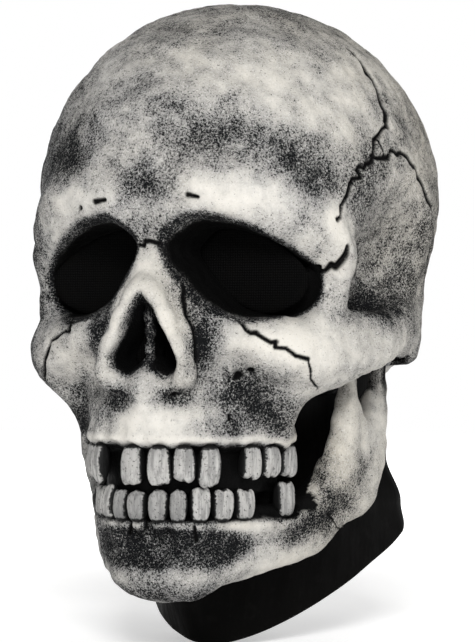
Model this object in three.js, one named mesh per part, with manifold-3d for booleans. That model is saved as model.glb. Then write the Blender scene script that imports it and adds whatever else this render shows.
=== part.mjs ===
// Latex skull mask with a moving lower jaw, worn over the whole head.
// Millimetres, +Z up. The origin lies midway between the wearer's ear openings, the face
// looks along -Y, and the mask's own left side is +X.
import * as THREE from "three";
import { mergeVertices } from "three/addons/utils/BufferGeometryUtils.js";
import Module from "manifold-3d";

const wasm = await Module();
wasm.setup();

// ---- Driving dimensions ----

const CRANIUM = { centre: [0, -12, 58], radii: [90, 109, 91] };
const WALL = 3.6; // latex thickness of the skull
const GAP = 0.4; // between pieces that touch
const GUM = -54.5; // height of the upper gum line
const JAW_GUM = -83.5; // height of the lower gum line
const SOCKET_BACK = -82; // how far back the eye sockets reach
const NOSTRIL_BACK = -98; // how far back the nose hole reaches
const PIVOT = { y: 0, z: -13 }; // axis of the jaw, along X
const JAW_PLATE = { near: 57.6, far: 67 }; // the upright plates of the jaw, in X
const HOOD_WALL = 2.6; // latex thickness of the neck
const RIM = { z: -116, slope: 0.56 }; // the neck's lower edge: z = RIM.z + RIM.slope * y
const HOOD_TOP = { z: 0, slope: 0.3 }; // the neck's upper edge, inside the skull

// Each level of the neck: height, half width, where it is widest, front and rear.
const NECK = [
  { z: 30, half: 54, middle: 16, front: -84, rear: 66 },
  { z: -30, half: 56, middle: 19, front: -84, rear: 69 },
  { z: -62, half: 58, middle: 24, front: -83, rear: 74 },
  { z: -84, half: 64, middle: 30, front: -74, rear: 79 },
  { z: -104, half: 67, middle: 33, front: -60, rear: 81 },
  { z: -165, half: 68, middle: 35, front: -48, rear: 83 },
];

// Teeth from the middle of the mouth outwards: centre, width and how far each turns outwards.
const UPPER_TEETH = [
  { name: "central", x: 6, y: -117, width: 10.4, tall: 15, turn: 7 },
  { name: "lateral", x: 16.3, y: -114.5, width: 9.6, tall: 13.5, turn: 21 },
  { name: "canine", x: 25.4, y: -108.6, width: 9.8, tall: 15, turn: 42 },
  { name: "premolar_1", x: 32, y: -100.5, width: 9, tall: 13, turn: 55 },
  { name: "premolar_2", x: 37.2, y: -91.5, width: 10, tall: 13, turn: 62 },
  { name: "molar_1", x: 41.6, y: -80.8, width: 10.4, tall: 12.5, turn: 68 },
  { name: "molar_2", x: 45.2, y: -69.5, width: 10.4, tall: 13, turn: 74 },
];
const LOWER_TEETH = [
  { name: "central", x: 4.8, y: -115, width: 8.4, tall: 11, turn: 6 },
  { name: "lateral", x: 13, y: -112.8, width: 7.4, tall: 11, turn: 21 },
  { name: "canine", x: 20.6, y: -107.6, width: 8.6, tall: 12.5, turn: 42 },
  { name: "premolar_1", x: 27.4, y: -99.4, width: 9.6, tall: 11.5, turn: 52 },
  { name: "premolar_2", x: 33.4, y: -90, width: 9.6, tall: 11.5, turn: 60 },
  { name: "molar_1", x: 38.6, y: -79.4, width: 10.4, tall: 12, turn: 66 },
  { name: "molar_2", x: 43.4, y: -68, width: 10.4, tall: 13.5, turn: 70 },
];
// The teeth that have fallen out, as the sculpted skull shows.
const LOST = new Set([
  "upper_right_lateral",
  "upper_left_premolar_1",
  "upper_right_molar_2",
  "lower_left_molar_1",
  "lower_right_molar_2",
]);
const TOOTH_DEPTH = 6.4;

const boneLatex = new THREE.MeshStandardMaterial({ color: 0xcfc8bb, roughness: 0.72 });
const toothLatex = new THREE.MeshStandardMaterial({ color: 0xe9e6de, roughness: 0.5 });
const blackLatex = new THREE.MeshStandardMaterial({ color: 0x0b0b0c, roughness: 0.45 });
const gauze = new THREE.MeshStandardMaterial({ color: 0x050505, roughness: 0.95 });
const foam = new THREE.MeshStandardMaterial({ color: 0x2b2b2e, roughness: 0.95 });
const plastic = new THREE.MeshStandardMaterial({ color: 0x161616, roughness: 0.4 });

// ---- Sculpting: signed distances, negative inside, to forms that are mirrored in X ----

function ball(p, [cx, cy, cz], [rx, ry, rz]) {
  const q = [(p.x - cx) / rx, (p.y - cy) / ry, (p.z - cz) / rz];
  const near = Math.hypot(...q);
  const slope = Math.hypot(q[0] / rx, q[1] / ry, q[2] / rz);
  return (near * (near - 1)) / Math.max(slope, 1e-6);
}

// A bent rod: each point holds x, y, z and its radius there.
function rod(p, points) {
  let found = Infinity;
  for (let i = 1; i < points.length; i++) {
    const [ax, ay, az, ar] = points[i - 1];
    const [bx, by, bz, br] = points[i];
    const d = new THREE.Vector3(bx - ax, by - ay, bz - az);
    const q = new THREE.Vector3(p.x - ax, p.y - ay, p.z - az);
    const t = THREE.MathUtils.clamp(q.dot(d) / d.lengthSq(), 0, 1);
    found = Math.min(found, q.addScaledVector(d, -t).length() - (ar + (br - ar) * t));
  }
  return found;
}

// An upright elliptic drum with rounded edges.
function drum(p, [cx, cy, cz], [rx, ry], half, edge) {
  const [ax, ay] = [rx - edge, ry - edge];
  const q = [(p.x - cx) / ax, (p.y - cy) / ay];
  const near = Math.hypot(...q);
  const flat = (near * (near - 1)) / Math.max(Math.hypot(q[0] / ax, q[1] / ay), 1e-6);
  const tall = Math.abs(p.z - cz) - (half - edge);
  return Math.min(Math.max(flat, tall), 0) + Math.hypot(Math.max(flat, 0), Math.max(tall, 0)) - edge;
}

// Union with a fillet about k wide, and the same for a cut.
function join(a, b, k) {
  const h = Math.max(k - Math.abs(a - b), 0) / k;
  return Math.min(a, b) - (h * h * k) / 4;
}
const carve = (a, b, k) => -join(-a, b, k);

// The outer form of the skull above the teeth, before its sockets are cut.
function skullForm(point) {
  const p = { x: Math.abs(point.x), y: point.y, z: point.z };
  const brow = [
    [8, -107, 50, 10], [28, -105, 54, 12], [50, -94, 48, 12], [62, -83, 40, 10], [69, -73, 30, 7],
  ];
  const cheek = [[20, -101, -10, 12], [40, -94, -9, 13], [56, -82, -13, 16], [65, -66, -12, 13]];
  const strut = [[62, -74, -4, 11], [68, -70, 14, 7], [70, -69, 30, 7]];
  const archBelow = [[64, -66, -16, 13], [74, -44, -12, 10], [76, -18, -5, 8], [70, 6, 0, 7]];
  const archAbove = [[66, -64, -4, 11], [74, -44, -1, 8], [76, -18, 3, 7], [70, 6, 6, 7]];
  const bridge = [[0, -105, 34, 9], [0, -111, 20, 8.5], [0, -116, 12, 8]];
  const noseSide = [[6, -106, 28, 6], [13, -107, 8, 7], [19, -108, -12, 8], [20, -107, -24, 7]];
  let s = ball(p, CRANIUM.centre, CRANIUM.radii);
  s = carve(s, ball(p, [108, -40, 14], [44, 38, 46]), 16); // temple
  s = join(s, rod(p, brow), 12);
  s = join(s, ball(p, [0, -76, -8], [44, 42, 44]), 12); // midface
  s = join(s, rod(p, cheek), 12);
  s = join(s, rod(p, strut), 8);
  s = join(s, rod(p, archBelow), 8);
  s = join(s, rod(p, archAbove), 8);
  s = join(s, ball(p, [66, 18, -2], [11, 15, 18]), 12); // mastoid
  s = join(s, drum(p, [0, 7, -2], [70, 68], 28, 14), 20); // skull base, round the nape
  s = join(s, drum(p, [0, -71, GUM + 17], [46, 47], 17, 9), 12); // upper jaw
  s = join(s, rod(p, bridge), 8);
  s = join(s, rod(p, noseSide), 8);
  return s;
}

// ---- Solids ----

function solid(geometry) {
  for (const name of ["normal", "uv"]) geometry.deleteAttribute(name);
  const merged = mergeVertices(geometry);
  return new wasm.Manifold(
    new wasm.Mesh({
      numProp: 3,
      vertProperties: merged.attributes.position.array,
      triVerts: new Uint32Array(merged.index.array),
    }),
  );
}

function geometryOf(cut) {
  const { numProp, vertProperties, triVerts } = cut.getMesh();
  const position = new Float32Array((vertProperties.length / numProp) * 3);
  for (let i = 0; i < position.length; i++) {
    position[i] = vertProperties[Math.floor(i / 3) * numProp + (i % 3)];
  }
  const geometry = new THREE.BufferGeometry();
  geometry.setAttribute("position", new THREE.BufferAttribute(position, 3));
  geometry.setIndex(new THREE.BufferAttribute(triVerts, 1));
  return geometry;
}

function moveVertices(geometry, move) {
  const place = geometry.attributes.position;
  const p = new THREE.Vector3();
  for (let i = 0; i < place.count; i++) {
    move(p.fromBufferAttribute(place, i));
    place.setXYZ(i, p.x, p.y, p.z);
  }
  return geometry;
}

// A ball drawn in from all round until it lies on the skull's form, or inset below it.
const CORE = new THREE.Vector3(0, -45, 10);
function wrapSkull(detail, inset) {
  const start = 200;
  return solid(
    moveVertices(new THREE.IcosahedronGeometry(1, detail), (p) => {
      const ray = p.clone().normalize();
      let reach = start;
      for (let step = 0; step < 80; step++) {
        p.copy(CORE).addScaledVector(ray, reach);
        reach -= 0.7 * (skullForm(p) + inset);
      }
    }),
  );
}

// One level of the neck at height z, worked out between the levels listed above.
function neckLevel(z) {
  const below = Math.max(NECK.findIndex((level) => level.z <= z), 1);
  const [a, b] = [NECK[below - 1], NECK[below]];
  const t = THREE.MathUtils.smoothstep(a.z - z, 0, a.z - b.z);
  const between = (key) => a[key] + (b[key] - a[key]) * t;
  return { half: between("half"), middle: between("middle"), front: between("front"), rear: between("rear") };
}

// The neck as a solid column: an egg in plan, narrow in front to clear the jaw.
function neckColumn(inset) {
  const [top, bottom, sides, steps] = [NECK[0].z, NECK.at(-1).z, 32, 12];
  const narrow = 0.36; // how much of its width the egg loses at its front
  const column = new THREE.CylinderGeometry(1, 1, 1, sides, steps);
  return solid(
    moveVertices(column, (p) => {
      const z = bottom + (p.y + 0.5) * (top - bottom);
      const { half, middle, front, rear } = neckLevel(z);
      const [across, along] = [p.x, -p.z];
      const reach = along < 0 ? middle - front - inset : rear - middle - inset;
      const width = (half - inset) * (1 - narrow * Math.max(-along, 0));
      p.set(across * width, middle + along * reach, z);
    }),
  );
}

// Everything above or below a plane across the mask, z = height + slope * y.
function halfSpace({ z, slope }, above) {
  const size = 500;
  const block = new THREE.BoxGeometry(size, size, size);
  block.translate(0, 0, above ? size / 2 : -size / 2);
  block.rotateX(Math.atan(slope));
  return solid(block.translate(0, 0, z));
}

// A hole through the face: its outline in X and Z, which draws in towards its middle from
// the front to the back.
function funnel(points, grow, back, side) {
  const middle = points
    .reduce((sum, p) => sum.add(new THREE.Vector2(...p)), new THREE.Vector2())
    .divideScalar(points.length);
  const outline = points.map((p) => {
    const q = new THREE.Vector2(...p).sub(middle);
    return q.setLength(q.length() + grow).add(middle);
  });
  const shape = new THREE.Shape(new THREE.SplineCurve([...outline, outline[0]]).getPoints(24));
  const depth = back - BEFORE_FACE;
  const block = new THREE.ExtrudeGeometry(shape, { depth, bevelEnabled: false });
  block.rotateX(Math.PI / 2);
  moveVertices(block, (p) => {
    const along = -p.y / depth;
    const scale = 1 - TAPER * along;
    const x = middle.x + (p.x - middle.x) * scale;
    p.set(side * x, BEFORE_FACE + along * depth, middle.y + (p.z - middle.y) * scale);
  });
  // Turning Y round leaves the faces inside out, unless X is turned round too.
  if (side > 0) flipFaces(block);
  return solid(block);
}

function flipFaces(geometry) {
  const place = geometry.attributes.position;
  for (let i = 0; i < place.count; i += 3) {
    const [a, b] = [1, 2].map((k) => new THREE.Vector3().fromBufferAttribute(place, i + k));
    place.setXYZ(i + 1, b.x, b.y, b.z);
    place.setXYZ(i + 2, a.x, a.y, a.z);
  }
}

// A profile drawn in Y and Z, extruded across from x = low to x = high, its edges rounded off.
function sideProfile(points, low, high, round = 0) {
  const shape = new THREE.Shape(points.map(([y, z]) => new THREE.Vector2(y, z)));
  const bevel = { bevelThickness: round, bevelSize: round, bevelOffset: -round, bevelSegments: 2 };
  const depth = high - low - 2 * round;
  const block = new THREE.ExtrudeGeometry(shape, { depth, bevelEnabled: round > 0, ...bevel });
  block.translate(0, 0, round);
  // The shape's own axes x, y, z become Y, Z, X.
  block.applyMatrix4(new THREE.Matrix4().set(0, 0, 1, low, 1, 0, 0, 0, 0, 1, 0, 0, 0, 0, 0, 1));
  return solid(block);
}

const EYE = [[7, 30], [20, 42.5], [38, 39], [56, 28.5], [63.5, 18], [56, 5.5], [42, 1.2], [27, 6]];
const NOSE = [
  [0, 10], [5.5, 3], [11.5, -9], [15, -17], [9, -21.5],
  [0, -18.5], [-9, -21.5], [-15, -17], [-11.5, -9], [-5.5, 3],
];
const TAPER = 0.12; // how much narrower each hole is at its back
const BEFORE_FACE = -130;
const eyeHole = (grow, side) => funnel(EYE, grow, SOCKET_BACK, side);
const noseHole = (grow) => funnel(NOSE, grow, NOSTRIL_BACK, 1);

// Room beside the neck for the rear of the lower jaw, under the cheek arch.
function jawRoom(side) {
  const inner = 56;
  const outer = 71.5;
  const room = [
    [-64, -70], [-62, -40], [-56, -18], [-50, -4], [-30, 1], [-10, 4],
    [6, 4], [13, -6], [15, -24], [18, -70],
  ];
  return side > 0 ? sideProfile(room, inner, outer) : sideProfile(room, -outer, -inner);
}

// Below the arch and behind the cheek the skull is open out to the side.
function jawGate(side) {
  const gate = [[-60, -70], [-57, -44], [-50, -27], [-40, -21], [-10, -17], [8, -15], [13, -20], [16, -70]];
  return side > 0 ? sideProfile(gate, 50, 110) : sideProfile(gate, -110, -50);
}

function skullShell() {
  const past = 1; // so that the holes break through the sockets' backs
  let inside = wrapSkull(8, WALL);
  for (const socket of [eyeHole(WALL, 1), eyeHole(WALL, -1), noseHole(WALL)]) {
    inside = inside.subtract(socket);
  }
  let shell = wrapSkull(14, 0).subtract(inside).subtract(neckColumn(-GAP));
  for (const side of [-1, 1]) {
    shell = shell.subtract(funnel(EYE, 0, SOCKET_BACK + past, side));
    shell = shell.subtract(jawRoom(side)).subtract(jawGate(side));
  }
  return shell.subtract(funnel(NOSE, 0, NOSTRIL_BACK + past, 1));
}

// A plate of black gauze that closes a hole just inside its back.
function gauzePlate(hole, back) {
  const [thick, step] = [1.2, 3];
  const slice = new THREE.BoxGeometry(200, thick, 200).translate(0, back - step - thick / 2, 0);
  return hole.intersect(solid(slice));
}

// An upright band that bends round the mouth: each edge is drawn in plan from the middle of
// the chin to the rear, and mirrored.
function mirroredBand(outer, inner, low, high) {
  const bend = (points) => {
    const right = points.slice(1).reverse().map(([x, y]) => new THREE.Vector2(-x, y));
    const left = points.map(([x, y]) => new THREE.Vector2(x, y));
    return new THREE.SplineCurve([...right, ...left]).getPoints(24);
  };
  const plan = new THREE.Shape([...bend(outer), ...bend(inner).reverse()]);
  const band = new THREE.ExtrudeGeometry(plan, { depth: high - low, bevelEnabled: false });
  return solid(band.translate(0, 0, low));
}

// The lower jaw: a body bent round the mouth, hollow at the back, and an upright plate
// on each side that rises to the pivot.
function jawShell() {
  const body = [
    [-104, JAW_GUM], [-110, -92], [-107, -99], [-110, -106], [-107, -115], [-98, -119],
    [-72, -114], [-44, -106], [-20, -96], [-4, -84], [3, -72], [-20, -70], [-46, -76], [-58, JAW_GUM],
  ];
  const upright = [
    [-52, -74], [-56, -84], [-44, -98], [-20, -96], [-4, -84], [5, -68], [8, -45], [9, -22], [7, -9],
    [0, -4], [-7, -8], [-12, -22], [-24, -29], [-34, -23], [-41, -8], [-47, -12], [-48, -30], [-46, -52],
  ];
  const outer = [[0, -112], [18, -107], [33, -92], [48, -70], [59, -46], [66, -20], [67, 14]];
  const inner = [[0, -97], [12, -91], [26, -76], [40, -56], [52, -32], [58, -8], [58, 14]];
  const skin = [[0, -107], [16, -102], [30, -88], [44, -67], [54.5, -44], [61, -20], [62, 0]];
  const beyond = [[0, -80], [8, -76], [18, -64], [30, -44], [40, -26], [48, -8], [50, 0]];
  const channel = mirroredBand(skin, beyond, -107, -92);
  let jaw = mirroredBand(outer, inner, -130, -60)
    .intersect(sideProfile(body, -80, 80))
    .subtract(channel);
  for (const side of [-1, 1]) {
    const [low, high] = side > 0 ? [JAW_PLATE.near, JAW_PLATE.far] : [-JAW_PLATE.far, -JAW_PLATE.near];
    jaw = jaw.add(sideProfile(upright, low, high, 2.5));
  }
  return jaw.subtract(rivetHole());
}

function rivetHole() {
  const hole = new THREE.CylinderGeometry(3.4, 3.4, 200, 20).rotateZ(Math.PI / 2);
  return solid(hole.translate(0, PIVOT.y, PIVOT.z));
}

// A press rivet: a head inside the neck, a collar that keeps the jaw clear of the neck, the
// journal that the jaw turns on, and a head outside the jaw.
function rivet(side) {
  const [shank, collar, head] = [3, 5, 6];
  const [innerHead, neckSide, jawSide, outerHead] = [43.8, 52.6, JAW_PLATE.near - GAP, JAW_PLATE.far + GAP];
  const thick = 1.6;
  const profile = [
    [0, innerHead], [head, innerHead], [head, innerHead + thick], [shank, innerHead + thick],
    [shank, neckSide], [collar, neckSide], [collar, jawSide], [shank, jawSide],
    [shank, outerHead], [head, outerHead], [head - 1, outerHead + thick], [0, outerHead + thick],
  ];
  const turned = new THREE.LatheGeometry(profile.map(([r, x]) => new THREE.Vector2(r, x)), 16);
  turned.rotateZ((-side * Math.PI) / 2);
  return solid(turned.translate(0, PIVOT.y, PIVOT.z));
}

function neckHood() {
  const tube = neckColumn(0).subtract(neckColumn(HOOD_WALL));
  return tube
    .intersect(halfSpace(RIM, true))
    .intersect(halfSpace(HOOD_TOP, false))
    .subtract(rivetHole());
}

// A foam pad glued to the inside of the skull: low and high are its corners.
function foamPad(low, high) {
  const thick = 9;
  const size = high.map((value, i) => value - low[i]);
  const middle = high.map((value, i) => (value + low[i]) / 2);
  const block = solid(new THREE.BoxGeometry(...size).translate(...middle));
  return wrapSkull(8, WALL + GAP).subtract(wrapSkull(8, WALL + GAP + thick)).intersect(block);
}

// A crown as seen from in front, its gum end at zero and its edge at the given height.
function toothGeometry({ width, tall }) {
  const half = width / 2;
  const crown = new THREE.Shape();
  crown.moveTo(-half * 0.72, 0.6);
  crown.quadraticCurveTo(0, -0.6, half * 0.72, 0.6);
  crown.quadraticCurveTo(half * 1.04, tall * 0.5, half * 0.84, tall * 0.9);
  crown.quadraticCurveTo(0, tall * 1.06, -half * 0.84, tall * 0.9);
  crown.quadraticCurveTo(-half * 1.04, tall * 0.5, -half * 0.72, 0.6);
  const round = 1;
  const depth = TOOTH_DEPTH - 2 * round;
  const bevel = { bevelThickness: round, bevelSize: round, bevelOffset: -round, bevelSegments: 1 };
  const block = new THREE.ExtrudeGeometry(crown, { depth, curveSegments: 2, ...bevel });
  return block.translate(0, 0, -depth / 2);
}

// ---- Assembly ----

const mask = new THREE.Group();
const skull = new THREE.Group();
const jaw = new THREE.Group();
mask.add(skull, jaw);

function add(group, name, geometry, material) {
  const mesh = new THREE.Mesh(geometry, material);
  mesh.name = name;
  group.add(mesh);
  return mesh;
}

function addTeeth(group, row, teeth, gum, points) {
  for (const [sideName, side] of [["left", 1], ["right", -1]]) {
    for (const tooth of teeth) {
      const name = `${row}_${sideName}_${tooth.name}`;
      if (LOST.has(name)) continue;
      const mesh = add(group, name, toothGeometry(tooth), toothLatex);
      const turn = THREE.MathUtils.degToRad(tooth.turn * side);
      mesh.position.set(tooth.x * side, tooth.y, gum);
      mesh.rotation.x = (points * Math.PI) / 2;
      mesh.rotateY(points * turn);
    }
  }
}

add(skull, "skull_shell", geometryOf(skullShell()), boneLatex);
add(skull, "neck_hood", geometryOf(neckHood()), blackLatex);
for (const [sideName, side] of [["left", 1], ["right", -1]]) {
  const eyeGauze = gauzePlate(eyeHole(-GAP, side), SOCKET_BACK);
  add(skull, `${sideName}_eye_gauze`, geometryOf(eyeGauze), gauze);
  add(skull, `${sideName}_jaw_rivet`, geometryOf(rivet(side)), plastic);
}
add(skull, "nose_gauze", geometryOf(gauzePlate(noseHole(-GAP), NOSTRIL_BACK)), gauze);
add(skull, "brow_pad", geometryOf(foamPad([-48, -130, 66], [48, -60, 92])), foam);
add(skull, "crown_pad", geometryOf(foamPad([-32, -40, 110], [32, 24, 160])), foam);
add(skull, "nape_pad", geometryOf(foamPad([-40, 60, 30], [40, 110, 60])), foam);
addTeeth(skull, "upper", UPPER_TEETH, GUM - GAP - 0.6, -1);

add(jaw, "jaw_shell", geometryOf(jawShell()), boneLatex);
addTeeth(jaw, "lower", LOWER_TEETH, JAW_GUM + GAP + 0.6, 1);

export default mask;
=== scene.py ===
import math

import bmesh
import bpy
import numpy as np
from mathutils import Matrix, Vector


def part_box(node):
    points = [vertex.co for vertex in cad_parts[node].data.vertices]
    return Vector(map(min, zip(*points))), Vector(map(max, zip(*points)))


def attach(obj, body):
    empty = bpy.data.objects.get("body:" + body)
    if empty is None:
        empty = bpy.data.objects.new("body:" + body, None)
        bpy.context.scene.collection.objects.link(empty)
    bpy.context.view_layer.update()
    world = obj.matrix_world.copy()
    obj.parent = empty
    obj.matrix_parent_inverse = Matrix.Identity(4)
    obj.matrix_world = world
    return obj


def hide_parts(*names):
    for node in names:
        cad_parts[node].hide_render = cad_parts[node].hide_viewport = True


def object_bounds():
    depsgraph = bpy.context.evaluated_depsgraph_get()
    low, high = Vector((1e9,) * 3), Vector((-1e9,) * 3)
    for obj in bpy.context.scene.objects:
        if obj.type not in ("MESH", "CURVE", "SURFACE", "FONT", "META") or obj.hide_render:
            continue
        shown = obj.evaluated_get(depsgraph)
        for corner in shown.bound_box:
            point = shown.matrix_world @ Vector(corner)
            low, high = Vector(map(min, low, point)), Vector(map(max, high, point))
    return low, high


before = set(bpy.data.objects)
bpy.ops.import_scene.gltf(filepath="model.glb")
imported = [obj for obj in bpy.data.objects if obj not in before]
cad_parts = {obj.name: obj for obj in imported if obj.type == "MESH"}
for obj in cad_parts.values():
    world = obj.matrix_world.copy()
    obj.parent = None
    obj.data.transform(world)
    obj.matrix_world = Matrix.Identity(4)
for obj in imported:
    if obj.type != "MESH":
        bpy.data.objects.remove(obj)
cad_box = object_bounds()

# A skull mask in latex. Forms are sculpted as signed distances in millimetres, negative
# inside, in the CAD's own frame, and meshed in metres. The face looks along -Y.

MM = 0.001
SKULL_STEP = 1.3
JAW_STEP = 1.05
PAD_STEP = 2.6
MOST_TRIANGLES = 172_000
SEED = 7

# ---- The CAD's dimensions ----

WALL = 3.6
GAP = 0.4
GUM, JAW_GUM = -54.5, -83.5
PIVOT_Z = -13
OPEN = math.radians(8)  # the jaw's full drop
HOOD_WALL = 2.6
RIM_Z, RIM_SLOPE = -116, 0.56
HOOD_TOP_Z, HOOD_TOP_SLOPE = 0, 0.3
PAD_THICK = 9
# Each level of the neck: height, half width, where it is widest, front and rear.
NECK = [(30, 54, 16, -84, 66), (-30, 56, 19, -84, 69), (-62, 58, 24, -83, 74),
        (-84, 64, 30, -74, 79), (-104, 67, 33, -60, 81), (-165, 68, 35, -48, 83)]
NECK_NARROW = 0.36
# Each tooth: x, y, width, height and how far it turns outwards.
UPPER = {
    "central": (6, -117, 10.4, 15, 7), "lateral": (16.3, -114.5, 9.6, 13.5, 21),
    "canine": (25.4, -108.6, 9.8, 15, 42), "premolar_1": (32, -100.5, 9, 13, 55),
    "premolar_2": (37.2, -91.5, 10, 13, 62), "molar_1": (41.6, -80.8, 10.4, 12.5, 68),
    "molar_2": (45.2, -69.5, 10.4, 13, 74)}
LOWER = {
    "central": (4.8, -115, 8.4, 11, 6), "lateral": (13, -112.8, 7.4, 11, 21),
    "canine": (20.6, -107.6, 8.6, 12.5, 42), "premolar_1": (27.4, -99.4, 9.6, 11.5, 52),
    "premolar_2": (33.4, -90, 9.6, 11.5, 60), "molar_1": (38.6, -79.4, 10.4, 12, 66),
    "molar_2": (43.4, -68, 10.4, 13.5, 70)}
TOOTH_DEPTH = 6.4
ROOT = 3.0  # how far a crown runs up under the gum
RIVET_HOLE = 3.2
THREAD = 0.0011  # the gauze's thread pitch in metres
GAUZE_HALF, GAUZE_BOW = 0.3, 1.2
FLOOR_REACH = 2600


def vec(values):
    return np.asarray(values, np.float32)


# ---- Distances to simple forms ----

def ball(p, centre, radii):
    """An ellipsoid."""
    r = vec(radii)
    q = (p - vec(centre)) / r
    near = np.sqrt((q * q).sum(-1))
    slope = np.sqrt(((q / r) ** 2).sum(-1))
    return near * (near - 1) / np.maximum(slope, 1e-6)


def curve(points, per=3):
    """A smooth run through the points; every column is smoothed alike."""
    p = np.asarray(points, float)
    p = np.vstack([2 * p[0] - p[1], p, 2 * p[-1] - p[-2]])
    out = []
    for a, b, c, d in zip(p[:-3], p[1:-2], p[2:-1], p[3:]):
        for t in np.arange(per) / per:
            out.append(0.5 * (2 * b + (c - a) * t + (2 * a - 5 * b + 4 * c - d) * t ** 2
                              + (3 * b - a - 3 * c + d) * t ** 3))
    return np.array(out + [p[-2]])


def segment(p, a, b):
    """How far p is from the line a to b, and how far along it, 0 to 1."""
    a, b = vec(a), vec(b)
    d = b - a
    q = p - a
    t = np.clip((q @ d) / (d @ d), 0, 1)
    q = q - t[..., None] * d
    return np.sqrt((q * q).sum(-1)), t


def rod(p, points, per=3):
    """A bent rod; each point holds x, y, z and the radius there."""
    run = curve(points, per) if len(points) > 2 else np.asarray(points, float)
    found = None
    for a, b in zip(run[:-1], run[1:]):
        far, t = segment(p, a[:3], b[:3])
        s = far - np.float32(a[3]) - np.float32(b[3] - a[3]) * t
        found = s if found is None else np.minimum(found, s)
    return found


def drum(p, centre, radii, half, edge):
    """An upright elliptic drum with rounded edges."""
    q = p - vec(centre)
    r = vec(radii) - edge
    n = q[..., :2] / r
    near = np.sqrt((n * n).sum(-1))
    slope = np.sqrt(((n / r) ** 2).sum(-1))
    flat = near * (near - 1) / np.maximum(slope, 1e-6)
    tall = np.abs(q[..., 2]) - (half - edge)
    beyond = np.hypot(np.maximum(flat, 0), np.maximum(tall, 0))
    return np.minimum(np.maximum(flat, tall), 0) + beyond - edge


def join(a, b, k):
    """Union with a fillet about k wide."""
    h = np.maximum(k - np.abs(a - b), 0) / k
    return np.minimum(a, b) - h * h * k / 4


def carve(a, b, k):
    """a with b taken away, and a rounded edge about k wide."""
    return -join(-a, b, k)


def outline(u, v, points):
    """A closed outline in a plane."""
    pts = vec(points)
    best = np.full(u.shape, 1e9, np.float32)
    inside = np.zeros(u.shape, bool)
    for a, b in zip(pts, np.roll(pts, -1, 0)):
        d = b - a
        t = np.clip(((u - a[0]) * d[0] + (v - a[1]) * d[1]) / (d @ d), 0, 1)
        best = np.minimum(best, (u - a[0] - t * d[0]) ** 2 + (v - a[1] - t * d[1]) ** 2)
        if a[1] != b[1]:
            across = (a[1] > v) != (b[1] > v)
            inside ^= across & (u < a[0] + (v - a[1]) * d[0] / d[1])
    return np.where(inside, -1, 1) * np.sqrt(best)


def loop(points, per=4):
    """A smooth closed outline through the points."""
    n = len(points)
    return curve([points[i % n] for i in range(-1, n + 2)], per)[per:-1 - per]


def smooth(x, low, high):
    t = np.clip((x - low) / (high - low), 0, 1)
    return t * t * (3 - 2 * t)


# ---- The skull ----

EYE = loop([(7, 30), (12, 38), (21, 42.8), (38, 39), (52, 31.5), (62, 22), (62.5, 13),
            (56, 5.5), (42, 1.2), (27, 6), (15, 17)], 3)
NOSE = loop([(0, 11), (5.5, 3), (11, -8), (15, -16), (13, -21), (7.5, -22), (0, -17.5),
             (-7.5, -22), (-13, -21), (-15, -16), (-11, -8), (-5.5, 3)], 3)
ROOM = [(-64, -70), (-62, -40), (-56, -18), (-50, -4), (-30, 1), (-10, 4), (6, 4),
        (13, -6), (15, -24), (18, -70)]
GATE = [(-60, -70), (-57, -44), (-50, -27), (-40, -21), (-10, -17), (8, -15), (13, -20), (16, -70)]
SOCKET_BACK, NOSTRIL_BACK = -82, -98
BEHIND, JAW_BEHIND = 8.2, 11.4  # from a tooth's middle to the wall behind it
ROOM_X, GATE_X = (56, 71.5), (50, 110)


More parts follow.
